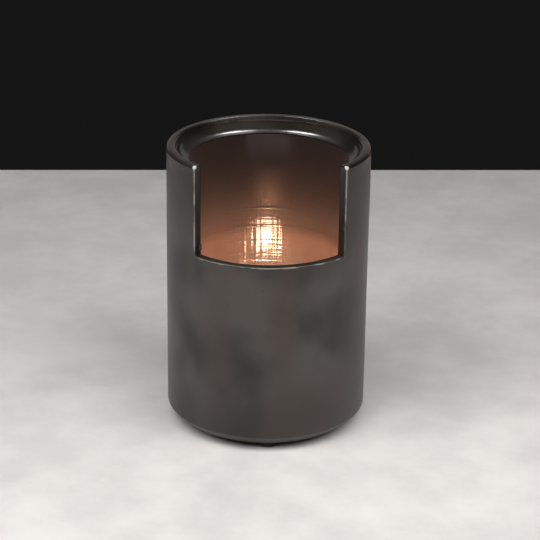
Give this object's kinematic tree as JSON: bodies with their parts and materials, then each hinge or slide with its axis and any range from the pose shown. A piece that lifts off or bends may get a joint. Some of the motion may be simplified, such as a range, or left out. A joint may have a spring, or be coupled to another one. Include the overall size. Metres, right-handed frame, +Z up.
{
  "type": "windowed tealight holder",
  "caption": "Tall round tealight holder: a dark glazed shell with a square window cut from its rim, a lift-out insert with a brushed copper liner, and a tealight on a raised tray.",
  "frame": {"origin": "centre of the footprint, on the surface that the feet stand on", "axes": "+Z up along the shell's axis; the window faces -Y; +X is to the right when looking in through the window"},
  "size_m": [0.07, 0.07, 0.1],
  "materials": {
    "dark_glaze": "satin dark grey-brown glaze",
    "black_rubber": "matte black",
    "collar_enamel": "glossy dark grey enamel",
    "brushed_copper": "copper, brushed both ways, warm pink-brown",
    "plain_copper": "satin copper",
    "rivet_copper": "copper, bright heads",
    "cup_aluminium": "thin drawn sheet, bright",
    "candle_wax": "white paraffin wax",
    "tinned_steel": "tinned",
    "wick_cotton": "braided cotton, charred at its tip"
  },
  "bodies": {
    "shell": {"outer_shell": "dark_glaze", "rubber_feet": "black_rubber"},
    "insert": {"rim_collar": "collar_enamel", "copper_liner": "brushed_copper", "seam_strip": "plain_copper", "seam_rivets": "rivet_copper", "candle_tray": "plain_copper"},
    "tealight": {"tealight_cup": "cup_aluminium", "tealight_wax": "candle_wax", "wick_sustainer": "tinned_steel", "wick": "wick_cotton"}
  },
  "joints": [
    {"name": "insert_lift", "type": "slide", "parent": "shell", "child": "insert", "axis": [0, 0, 1], "range_m": [0, 0.1]},
    {"name": "tealight_lift", "type": "slide", "parent": "insert", "child": "tealight", "axis": [0, 0, 1], "range_m": [0, 0.09]}
  ]
}
